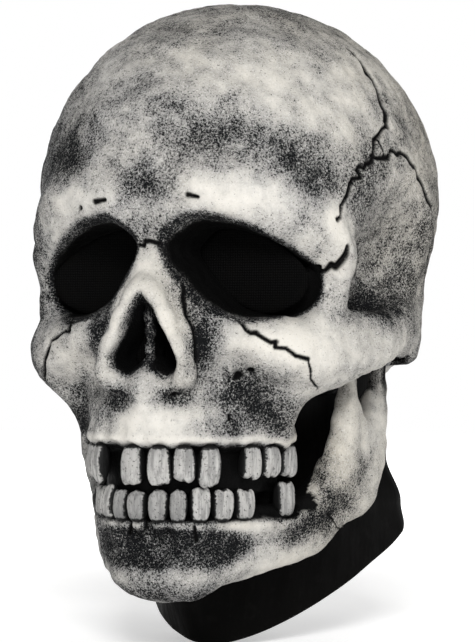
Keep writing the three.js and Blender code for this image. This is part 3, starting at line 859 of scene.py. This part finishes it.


# ---- Paint laid on the castings, with painted shade and highlight ----

# Black airbrush over the bone, partly as painted shade in the temples, under the cheekbones, on the crown
# and on the far side: centre, reach and strength.
SKULL_SPRAY_AND_SHADE = [
    ((24, -117, 80), (28, 20, 15), 0.30), ((50, -104, 70), (20, 22, 12), 0.26),
    ((-46, -106, 70), (26, 22, 17), 0.36), ((0, -117, 56), (13, 14, 11), 0.40),
    ((64, -88, 60), (14, 16, 18), 0.34), ((80, -36, 24), (16, 30, 26), 0.38),
    ((76, -40, 8), (12, 16, 13), 0.35), ((-78, -40, 20), (16, 40, 44), 0.60),
    ((82, -60, 62), (10, 16, 24), 0.22), ((84, -20, 96), (14, 40, 20), 0.16),
    ((-80, -30, 90), (30, 60, 50), 0.38), ((0, -60, 146), (70, 60, 26), 0.16),
    ((0, 60, 90), (90, 50, 70), 0.15), ((86, 10, 40), (14, 24, 40), 0.22),
    ((46, -103, -22), (20, 14, 9), 0.15), ((13, -116, -33), (9, 10, 5), 0.7),
    ((-12, -116, -33), (7, 10, 5), 0.7),
    ((30, -104, GUM + 6), (12, 12, 7), 0.30), ((38, -98, -30), (12, 12, 8), 0.25),
    ((-22, -114, -2), (8, 12, 16), 0.30), ((0, -116, 38), (16, 10, 9), 0.35),
    ((42, -84, -44), (14, 14, 12), 0.45), ((-44, -84, -46), (14, 14, 12), 0.5),
    ((70, 16, -22), (14, 16, 12), 0.35), ((-66, -84, -20), (14, 16, 18), 0.30),
    ((72, -74, 6), (10, 14, 14), 0.20), ((18, -113, 20), (7, 10, 16), 0.30),
    ((24, -113, -8), (7, 9, 18), 0.42), ((44, -103, -1), (17, 10, 6), 0.28),
    ((-24, -113, -6), (7, 9, 18), 0.35), ((-46, -100, -4), (12, 10, 9), 0.30),
    ((36, -100, -38), (12, 12, 12), 0.12), ((-14, -117, -38), (10, 9, 7), 0.30),
    # Rubbed clean where the form stands out, partly as painted highlight.
    ((36, -112, 52), (26, 14, 9), -0.45), ((-36, -112, 53), (24, 14, 9), -0.38),
    ((0, -119, 44), (10, 8, 6), -0.18), ((48, -100, -6), (26, 16, 10), -0.42),
    ((72, -52, -10), (12, 30, 9), -0.32), ((-54, -96, -8), (22, 16, 10), -0.30),
    ((12, -122, -6), (6, 8, 16), -0.40), ((-12, -122, -6), (6, 8, 16), -0.40),
    ((0, -120, 16), (7, 8, 12), -0.38), ((0, -120, GUM + 12), (24, 9, 8), -0.42),
    ((72, -84, 42), (5, 9, 9), -0.55), ((70, -78, 18), (8, 10, 14), -0.30),
    ((55, -88, -13), (15, 14, 8), -0.55),
    ((50, -92, 100), (34, 34, 18), -0.16), ((70, -50, 110), (20, 40, 26), -0.14),
    ((40, -96, GUM + 4), (12, 12, 5), -0.22),
]
# Black airbrush over the jaw, partly as painted shade above and under the chin and on the far side; the
# negative ones lighten the gum and ramus, partly as painted highlight: centre, reach and strength.
JAW_SPRAY_AND_SHADE = [
    ((0, -110, -96), (30, 12, 7), 2.2), ((25, -100, -96.5), (14, 12, 7), 0.95),
    ((-24, -100, -97), (14, 12, 7), 0.8), ((66, -22, -50), (8, 14, 20), 0.2),
    ((48, -60, -92), (24, 24, 6), 0.35), ((64, -34, -68), (9, 9, 9), 0.45),
    ((58, -46, -78), (9, 10, 7), 0.5),
    ((54, -44, -66), (8, 8, 18), 0.45), ((0, -96, -118), (60, 40, 5), 0.4),
    ((-50, -40, -90), (20, 40, 30), 0.5), ((60, 2, -40), (10, 10, 44), 0.35),
    ((0, -106, -109), (22, 12, 6), 0.05), ((40, -70, -104), (24, 24, 6), -0.22),
    ((0, -108, JAW_GUM - 4), (26, 12, 3.5), -0.5), ((34, -88, JAW_GUM - 4), (14, 18, 4), -0.35),
    ((64, -20, -50), (10, 24, 24), -0.30), ((52, -56, -86), (9, 12, 6), 0.4),
]
WARM = [((84, 0, 60), (40, 60, 70), 0.5), ((0, 0, 140), (80, 90, 40), 0.5),
        ((56, -40, -70), (20, 40, 40), 0.55), ((14, -118, -6), (10, 10, 24), 0.35)]


# Soft round spots summed, each a centre, reach and strength; for the paint values they hold painted shade
# and highlight too.
def soft_spots(p, spots):
    total = np.zeros(len(p))
    for centre, reach, strength in spots:
        total += strength * np.exp(-(((p - vec(centre)) / vec(reach)) ** 2).sum(1))
    return total


def tooth_place(turn, side):
    """A tooth's two directions, across it and back into the mouth."""
    a = math.radians(turn)
    return np.array([side * math.cos(a), math.sin(a)]), np.array([-side * math.sin(a), math.cos(a)])


def near_teeth(p, teeth, low, high):
    """Distance from the points to the row of teeth, as upright boxes."""
    found = np.full(len(p), 1e9)
    for x, y, width, _, turn in teeth:
        for side in (-1, 1):
            across, back = tooth_place(turn, side)
            q = p[:, :2] - vec([side * x, y])
            box = np.stack([np.abs(q @ across) - width * 0.47, np.abs(q @ back) - TOOTH_DEPTH * 0.45,
                            slab(p[:, 2], low, high)], 1)
            far = np.linalg.norm(np.maximum(box, 0), axis=1) + np.minimum(box.max(1), 0)
            found = np.minimum(found, far)
    return found


LUMPS = 0.9  # height of a casting's unevenness
NEAR, FAR = 4.0, 14.0  # how far off a surface is felt for closed-in places
CLEAN_SKULL, CLEAN_JAW = 0.52, 0.46  # dirt on the bone before anything is added


def hollow(form, p, n, reach):
    """How closed in each point is, 0 to 1, felt along its normal."""
    return np.clip(1 - form(folded(p + n * reach)) / reach, 0, 1.6)


def cracked(thing, form, cracks, random, longest):
    """The casting finely meshed at its cracks, with its points, normals and crack marks."""
    runs = crack_runs(form, cracks, random)
    thing = refined(thing, runs, CRACK_REACH, longest)
    p = points_of(thing)
    return thing, p, normals_of(thing), *crack_marks(p, runs)


def weathered(thing, p, n, random, depth, dark, outside, black, grime):
    """Moves the points by lumps and cracks where they are outside, and lays the paint with its painted
    shade and highlight.
    """
    set_points(thing, p + n * ((lumps(p, random, LUMPS) - depth) * outside)[:, None])
    painted(thing, crack=dark * outside, black=black, grime=grime, warm=soft_spots(p, WARM))


# ---- The skull shell ----

def make_skull():
    random = np.random.default_rng(SEED)
    shell = sculpted("skull_casting", skull, (0, -129, -80), (93, 102, 154), SKULL_STEP)
    p = points_of(shell)
    buried = skull_outer(folded(p)) < -1.6
    group = shell.vertex_groups.new(name="inside")
    group.add(np.flatnonzero(buried).tolist(), 1.0, "REPLACE")
    group.add(np.flatnonzero(~buried).tolist(), 0.25, "REPLACE")
    count = 2 * len(shell.data.polygons)
    shell = modified(shell, "DECIMATE", ratio=MOST_TRIANGLES / count * 0.9, vertex_group="inside",
                     vertex_group_factor=1.0)
    shell.vertex_groups.clear()
    shell, p, n, depth, dark = cracked(shell, cranium, SKULL_CRACKS, random, 0.9)
    inside = smooth(-skull_outer(folded(p)), 0.8, 2.2)
    close = hollow(skull_outer, p, n, NEAR)
    wide = hollow(skull_outer, p, n, FAR)
    q = folded(p)
    eye = outline(q[:, 0], q[:, 2], EYE)
    black = smooth(past_face(q), 0.5, 5) * (eye < 1.2) * (q[:, 1] < -70)
    nose = outline(p[:, 0], p[:, 2], NOSE)
    bone_in_nose = (np.abs(p[:, 0]) < 2.2) * smooth(-p[:, 2], -10, 6) * 0.9
    bone_in_nose *= 1 - smooth(p[:, 1] + 116.5 + 0.12 * p[:, 2], 0.8, 2.4)
    black = np.maximum(black, smooth(p[:, 1], -120.5, -117) * (nose < 0.8) * (q[:, 1] < -90)
                       * (1 - bone_in_nose))
    teeth = near_teeth(p, UPPER.values(), GUM - 18, GUM)
    black = np.maximum(black, 1 - smooth(teeth, 0.6, 1.5))
    under = smooth(GUM - p[:, 2], -0.5, 1.2) * (n[:, 2] < -0.3) * (q[:, 0] < 60) * (p[:, 1] < -20)
    under = np.maximum(under, smooth(GUM - p[:, 2], 2.2, 3.4) * (q[:, 0] < 60) * (p[:, 1] < -50))
    black = np.maximum(black, np.maximum(under, inside))
    gate = (q[:, 0] < 57) * (p[:, 1] > -60) * (p[:, 1] < 18)  # beside the jaw's plates
    black = np.maximum(black, smooth(-p[:, 2], 13, 16) * gate)
    wall = alveolar(q, UPPER, BEHIND, GUM - 20, GUM + 1.5)
    black = np.maximum(black, 1 - smooth(wall, 1.2, 2.2))
    # Darker in hollows: the mask's airbrushed black, and partly painted shade.
    grime = CLEAN_SKULL + soft_spots(p, SKULL_SPRAY_AND_SHADE) + 0.45 * smooth(close, 0.15, 0.9)
    # Upward faces and faces turned to -x, away from the key lamp, darker: painted shade.
    grime += 0.05 * smooth(n[:, 2], 0.2, 0.95) + 0.14 * smooth(-n[:, 0], 0.2, 0.9)
    grime += 0.34 * smooth(wide, 0.35, 1.0) + 0.6 * (1 - smooth(eye, 0.5, 4)) * (q[:, 1] < -60)
    grime += 0.35 * (1 - smooth(nose, 0, 2.5)) * (p[:, 1] < -90)
    # Darker right at the teeth, and a lighter line along the gum's edge, partly painted highlight.
    grime += 0.25 * (1 - smooth(teeth, 1, 2.5)) - 0.35 * np.exp(-((teeth - 4.0) / 1.6) ** 2)
    weathered(shell, p, n, random, depth, dark, 1 - inside, black, grime)
    return piece(shell, BONE, "bone_latex", "skull", "skull_shell")


def make_jaw():
    random = np.random.default_rng(SEED + 1)
    casting = sculpted("jaw_casting", jaw, (0, -118, -124), (76, 18, -2), JAW_STEP)
    casting = modified(casting, "DECIMATE", ratio=0.6)
    casting, p, n, depth, dark = cracked(casting, mandible, JAW_CRACKS, random, 0.8)
    buried = smooth(-mandible(folded(p)), 0.8, 2.5)
    close, wide = hollow(mandible, p, n, NEAR), hollow(mandible, p, n, FAR)
    teeth = near_teeth(p, LOWER.values(), JAW_GUM, JAW_GUM + 15)
    black = 1 - smooth(teeth, 0.6, 1.5)
    q = folded(p)
    wall = alveolar(q, LOWER, JAW_BEHIND, JAW_GUM - 1, JAW_GUM + 17)
    black = np.maximum(black, 1 - smooth(wall, 1.2, 2.2))
    top = smooth(p[:, 2], JAW_GUM - 2.5, JAW_GUM - 1) * (n[:, 2] > 0.35) * (q[:, 0] < 50)
    top = np.maximum(top, smooth(p[:, 2], JAW_GUM + 0.6, JAW_GUM + 1.6) * (q[:, 1] < -58))
    black = np.maximum(black, np.maximum(top, buried))
    inner = smooth(n[:, 1] - 0.6 * n[:, 0] * np.sign(p[:, 0]), 0.3, 0.7) * (q[:, 0] < 60)
    black = np.maximum(black, inner * (p[:, 1] < -30))
    # Darker in hollows: the mask's airbrushed black, and partly painted shade.
    grime = CLEAN_JAW + soft_spots(p, JAW_SPRAY_AND_SHADE) + 0.45 * smooth(close, 0.15, 0.9)
    grime += 0.45 * smooth(wide, 0.35, 1.0) + 0.3 * (1 - smooth(teeth, 1.8, 4))
    weathered(casting, p, n, random, depth, dark, 1 - buried, black, grime)
    return piece(casting, BONE, "bone_latex", "jaw", "jaw_shell")


# ---- Teeth ----

def cube_points(n):
    """Points and quads of a cube's faces, n quads to an edge, from -1 to 1."""
    verts, faces, seen = [], [], {}
    t = np.linspace(-1, 1, n + 1)
    for axis in range(3):
        for sign in (-1, 1):
            grid = np.zeros((n + 1, n + 1), int)
            for i in range(n + 1):
                for j in range(n + 1):
                    c = [0.0, 0.0, 0.0]
                    c[axis], c[(axis + 1) % 3], c[(axis + 2) % 3] = sign, t[i], t[j]
                    key = tuple(np.round(c, 5))
                    if key not in seen:
                        seen[key] = len(verts)
                        verts.append(key)
                    grid[i, j] = seen[key]
            for i in range(n):
                for j in range(n):
                    ring = [grid[i, j], grid[i + 1, j], grid[i + 1, j + 1], grid[i, j + 1]]
                    faces.append(ring if sign > 0 else ring[::-1])
    return np.array(verts), faces


CUBE, CUBE_FACES = cube_points(18)
PLAIN_SHADE = 0.06


def make_tooth(node, x, y, width, tall, turn, side, up, shade, random):
    """A crown: up is 1 where it stands on the lower gum and -1 where it hangs."""
    power = 3.0
    c = CUBE / (np.abs(CUBE) ** power).sum(1)[:, None] ** (1 / power)
    t = (c[:, 2] + 1) / 2  # 0 at the gum, 1 at the biting edge
    a, b = c[:, 0], c[:, 1]
    molar = "molar" in node
    shape = 0.88 + 0.14 * smooth(t, 0.05, 0.5) - 0.03 * smooth(t, 0.85, 1.0)
    lean = random.uniform(-0.04, 0.04)
    wear = random.uniform(-0.5, 0.5)
    phase = random.uniform(0, 6.3)
    u = a * (width / 2 + 0.25) * shape + lean * t * tall
    deep = TOOTH_DEPTH / 2 * (1 - 0.22 * smooth(t, 0.45, 1.0) * (not molar))
    v = b * deep
    front = smooth(-b, 0.2, 0.95)
    v += front * (0.16 * np.sin(a * 5.5 + phase) + 0.12 * np.sin(a * 10 + 2 * phase)) * (0.4 + 0.6 * t)
    v += front * 0.25 * np.sin(t * 5 + phase)
    if molar:
        v += front * 1.1 * np.exp(-((a + 0.05) / 0.16) ** 2) * smooth(t, 0.2, 0.8)
    h = t * (tall + ROOT)
    top = smooth(t, 0.72, 1.0)
    h += top * (wear * a + 0.35 * np.sin(a * 4 + phase) + 0.2 * np.sin(a * 9 + 2 * phase))
    h -= top * random.uniform(0.0, 0.9)
    if molar:
        h -= top * 0.9 * np.exp(-(a / 0.28) ** 2)
    gum = GUM + ROOT - 1 if up < 0 else JAW_GUM - ROOT + 1
    across, back = tooth_place(turn, side)
    z = gum + up * h
    flat = np.array([side * x, y]) + u[:, None] * across + v[:, None] * back
    verts = np.column_stack([flat, z])
    mirrored = (side < 0) != (up < 0)
    faces = [f[::-1] for f in CUBE_FACES] if mirrored else CUBE_FACES
    thing = mesh_object(node + "_crown", verts, faces)
    # Darker at the gum, the sides, the biting edge and the back: the paint's dark outlines, and painted
    # shade at the gum and into the mouth.
    rim = 1 - smooth(t, 0.04, 0.15)
    sides = smooth(np.abs(a), 0.72, 0.97)
    biting = smooth(t, 0.93, 1.0)
    grime = 0.28 + 0.75 * rim + 0.7 * sides + 0.35 * biting + 0.9 * smooth(b, -0.35, 0.4)
    # The shade value darkens the crown towards the gum as well: painted shade.
    painted(thing, grime=grime, shade=shade + 0.25 * (1 - smooth(t, 0, 0.5)))
    return piece(thing, TOOTH, "tooth_latex", "jaw" if up > 0 else "skull", node)


def make_teeth():
    random = np.random.default_rng(SEED + 2)
    rows = (("upper", UPPER, -1), ("lower", LOWER, 1))
    # Teeth that the paint has left darker.
    dull = {"lower_left_central": 0.35, "lower_right_central": 0.45, "lower_right_lateral": 0.5,
            "lower_left_lateral": 0.3, "upper_left_molar_2": 0.2, "lower_left_molar_2": 0.25}
    for row, teeth, up in rows:
        for side, side_name in ((1, "left"), (-1, "right")):
            for name, (x, y, width, tall, turn) in teeth.items():
                node = f"{row}_{side_name}_{name}"
                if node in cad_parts:
                    shade = dull.get(node, PLAIN_SHADE)
                    make_tooth(node, x, y, width, tall, turn, side, up, shade, random)


# ---- The neck ----

def make_hood():
    around, along = ((176, 96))
    edge = 6  # rows that roll over each rim
    angle = np.arange(around) / around * 2 * math.pi
    run = list(np.linspace(0, 1, along))
    rows = [(t, 0.0) for t in run]
    rows += [(1.0, s) for s in np.linspace(0, 1, edge + 2)[1:-1]]
    rows += [(t, 1.0) for t in run[::-1]]
    rows += [(0.0, s) for s in np.linspace(1, 0, edge + 2)[1:-1]]
    verts = []
    for t, s in rows:
        z_top = np.full(around, 0.0)
        z_low = np.full(around, -110.0)
        for _ in range(8):  # the rims are sloping planes, so their heights depend on y
            for z, height, slope in ((z_top, HOOD_TOP_Z, HOOD_TOP_SLOPE), (z_low, RIM_Z, RIM_SLOPE)):
                half, middle, front, rear = neck_at(z)
                reach = np.where(np.cos(angle) < 0, middle - front, rear - middle)
                z[:] = height + slope * (middle + np.cos(angle) * reach)
        z = z_top + (z_low - z_top) * t
        half, middle, front, rear = neck_at(z)
        wave = np.clip((-66 - z) / 24, 0, 1) * (
            0.5 * np.sin(angle * 9 + z * 0.05) + 0.35 * np.sin(angle * 17 - z * 0.09 + 1))
        inset = HOOD_WALL * s + 0.35 + np.abs(wave) * 0.4 - wave * 0.4
        if 0 < s < 1:
            z = z + (0.9 if t > 0.5 else -0.9) * -math.sin(math.pi * s) * 0.6
        cos, sin = np.cos(angle), np.sin(angle)
        reach = np.where(cos < 0, middle - front, rear - middle) - inset
        width = (half - inset) * (1 - NECK_NARROW * np.clip(-cos, 0, None))
        verts.append(np.column_stack([sin * width, middle + cos * reach, z]))
    faces = strips(len(rows), around, closed=True)
    hood = mesh_object("hood", np.concatenate(verts), faces)
    edit = bmesh.new()
    edit.from_mesh(hood.data)
    middles = [(f, f.calc_center_median()) for f in edit.faces]
    holes = [f for f, m in middles if math.hypot(m.y, m.z - PIVOT_Z * MM) < RIVET_HOLE * MM]
    bmesh.ops.delete(edit, geom=holes, context="FACES")
    rims = [e for e in edit.edges if e.is_boundary]
    if rims:
        bmesh.ops.bridge_loops(edit, edges=[e for e in rims if e.verts[0].co.x > 0])
        bmesh.ops.bridge_loops(edit, edges=[e for e in rims if e.is_valid and e.verts[0].co.x < 0])
    bmesh.ops.recalc_face_normals(edit, faces=edit.faces)
    edit.to_mesh(hood.data)
    edit.free()
    hood.data.shade_smooth()
    return piece(hood, BLACK, "black_latex", "skull", "neck_hood")


# ---- Gauze, rivets and pads ----

def make_gauze(node, points, taper):
    """A thin sheet stretched across a hole, bowed a little backwards."""
    low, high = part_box(node)
    y = (low.y + high.y) / 2 / MM
    centre = np.array(points).mean(0)
    ring = (np.array(points) - centre) * taper + centre
    count = len(ring)
    shrink = np.linspace(1, 0, 9)[:-1]
    verts, faces = [], []
    for offset in (-GAUZE_HALF, GAUZE_HALF):
        for k in shrink:
            bow = GAUZE_BOW * (1 - k * k)
            place = (ring - centre) * k + centre
            verts += [[a, y + offset + bow, b] for a, b in place]
        verts.append([centre[0], y + offset + GAUZE_BOW, centre[1]])
    sheet = len(shrink) * count + 1
    inner = (len(shrink) - 1) * count
    for base, step in ((0, 1), (sheet, -1)):
        faces += [quad[::step] for quad in strips(len(shrink), count, start=base)]
        for i in range(count):
            fan = [base + inner + i, base + inner + (i + 1) % count, base + sheet - 1]
            faces.append(fan[::step])
    for i in range(count):
        j = (i + 1) % count
        faces.append([i, sheet + i, sheet + j, j])
    thing = outwards(mesh_object(node + "_cloth", verts, faces))
    piece(thing, GAUZE, "gauze", "skull", node)
    return thing


def make_rivet(node, side):
    """A press rivet turned about X, its heads slightly domed and its edges rounded."""
    profile = [(0, 43.8), (4.6, 43.85), (5.6, 44.1), (6, 44.6), (5.9, 45.2), (5.4, 45.4), (3, 45.4),
               (3, 52.6), (4.6, 52.6), (5, 53), (5, 56.8), (4.6, 57.2), (3, 57.2), (3, 67.4),
               (5.6, 67.4), (6, 67.6), (6, 68), (5.4, 68.7), (3.4, 69), (1.4, 68.8), (0.8, 68.4),
               (0, 68.3)]
    around = 48
    verts, faces = [(side * profile[0][1], 0, PIVOT_Z)], []
    for r, x in profile[1:-1]:
        for k in range(around):
            a = k / around * 2 * math.pi
            verts.append((side * x, r * math.cos(a), PIVOT_Z + r * math.sin(a)))
    verts.append((side * profile[-1][1], 0, PIVOT_Z))
    rings = len(profile) - 2
    last = 1 + (rings - 1) * around
    faces += strips(rings, around, start=1)
    for i in range(around):
        j = (i + 1) % around
        faces += [[0, 1 + j, 1 + i], [last + i, last + j, len(verts) - 1]]
    thing = outwards(mesh_object(node + "_turned", verts, faces))
    thing.data.set_sharp_from_angle(angle=math.radians(50))
    return piece(thing, NYLON, "rivet_plastic", "skull", node)


def make_pad(node, low, high):
    """A foam pad on the inside of the shell, crowned and rounded at its edges."""
    middle = (vec(low) + vec(high)) / 2
    half = (vec(high) - vec(low)) / 2

    def pad(p):
        wall = cranium(folded(p)) + WALL + GAP + 0.3
        q = np.abs(p - middle) - (half - 0.6)
        box = q.max(-1)
        thick = PAD_THICK - 0.6 - 0.035 * np.maximum(0, 20 + box)  # thinner towards its edge
        s = -join(-wall, wall + thick, 4)
        return -join(-s, -box, 7)

    thing = sculpted(node + "_foam", pad, vec(low) - 4, vec(high) + 4, PAD_STEP, False)
    piece(thing, FOAM, "foam", "skull", node)
    return thing


make_skull()
make_jaw()
make_teeth()
make_hood()
EYE_AT_GAUZE, NOSE_AT_GAUZE = 0.90, 0.82
make_gauze("left_eye_gauze", EYE, EYE_AT_GAUZE)
make_gauze("right_eye_gauze", [(-x, z) for x, z in EYE], EYE_AT_GAUZE)
make_gauze("nose_gauze", NOSE, NOSE_AT_GAUZE)
make_rivet("left_jaw_rivet", 1)
make_rivet("right_jaw_rivet", -1)
make_pad("brow_pad", (-48, -130, 66), (48, -60, 92))
make_pad("crown_pad", (-32, -40, 110), (32, 24, 160))
make_pad("nape_pad", (-40, 60, 30), (40, 110, 60))

# ---- Stage ----

FLOOR_Z = cad_box[0].z - 0.0005  # half a millimetre under the neck


def make_floor():
    verts, faces, around, rings = [(0, 0, 0)], [], 48, 8
    for r in range(1, rings + 1):
        far = FLOOR_REACH * (r / rings) ** 2
        for k in range(around):
            a = k / around * 2 * math.pi
            verts.append((far * math.cos(a), far * math.sin(a), 0))
    faces += [[0, 1 + k, 1 + (k + 1) % around] for k in range(around)]
    faces += [quad[::-1] for quad in strips(rings, around, start=1)]
    ground = mesh_object("floor", verts, faces)
    ground.location = (0, 0, FLOOR_Z)
    ground.data.materials.append(floor_material())


def lamp(name, place, aim, size, watts, colour=(1, 1, 1)):
    light = bpy.data.lights.new(name, "AREA")
    light.shape = "RECTANGLE"
    light.size, light.size_y = size
    light.energy = watts
    light.color = colour
    thing = bpy.data.objects.new(name, light)
    bpy.context.scene.collection.objects.link(thing)
    thing.location = place
    direction = Vector(aim) - Vector(place)
    thing.rotation_mode = "QUATERNION"
    thing.rotation_quaternion = direction.to_track_quat("-Z", "Y")


make_floor()
lamp("key", (0.50, -1.25, 0.62), (0, -0.05, 0.0), (0.45, 0.45), 18.5)
lamp("fill", (-1.1, -1.0, 0.1), (0, 0, 0), (1.0, 1.2), 1.6)
lamp("rim", (1.2, 0.5, 0.35), (0, 0, 0), (0.5, 1.0), 5)
lamp("top", (0, 0.3, 1.6), (0, 0, 0), (1.4, 1.4), 2)
lamp("back", (-0.9, 1.2, 0.5), (0, 0, 0), (1.0, 1.0), 13)

AMBIENT, BACKDROP = 0.13, 1.0  # the white room's light, and how bright it looks behind the mask
world = bpy.data.worlds.new("studio")
world.use_nodes = True
bpy.context.scene.world = world
nodes, links = world.node_tree.nodes, world.node_tree.links
background = nodes["Background"]
rays = nodes.new("ShaderNodeLightPath")
strength = nodes.new("ShaderNodeMapRange")
strength.inputs["To Min"].default_value = AMBIENT
strength.inputs["To Max"].default_value = BACKDROP
links.new(rays.outputs["Is Camera Ray"], strength.inputs["Value"])
links.new(strength.outputs[0], background.inputs["Strength"])
background.inputs["Color"].default_value = (1, 1, 1, 1)
bpy.context.scene.view_settings.view_transform = "Standard"
bpy.context.scene.view_settings.look = "None"

# ---- Camera ----

AZIMUTH, ELEVATION, ROLL = math.radians(22), math.radians(-1), math.radians(0.5)
DISTANCE = 0.95
LENS, SENSOR = 111.869, 36
SHIFT_X, SHIFT_Y = -0.021807, 0.0062305
back = Vector((math.sin(AZIMUTH) * math.cos(ELEVATION), -math.cos(AZIMUTH) * math.cos(ELEVATION),
               math.sin(ELEVATION)))
level = Vector((math.cos(AZIMUTH), math.sin(AZIMUTH), 0))
upright = back.cross(level)
right = level * math.cos(ROLL) + upright * math.sin(ROLL)
above = upright * math.cos(ROLL) - level * math.sin(ROLL)
camera = bpy.data.objects.new("camera", bpy.data.cameras.new("camera"))
bpy.context.scene.collection.objects.link(camera)
camera.matrix_world = Matrix((right, above, back)).transposed().to_4x4()
camera.location = back * DISTANCE
camera.data.sensor_width, camera.data.lens = SENSOR, LENS
camera.data.shift_x, camera.data.shift_y = SHIFT_X, SHIFT_Y
camera.data.clip_start, camera.data.clip_end = 0.05, 50
camera.data.dof.use_dof = False
bpy.context.scene.camera = camera
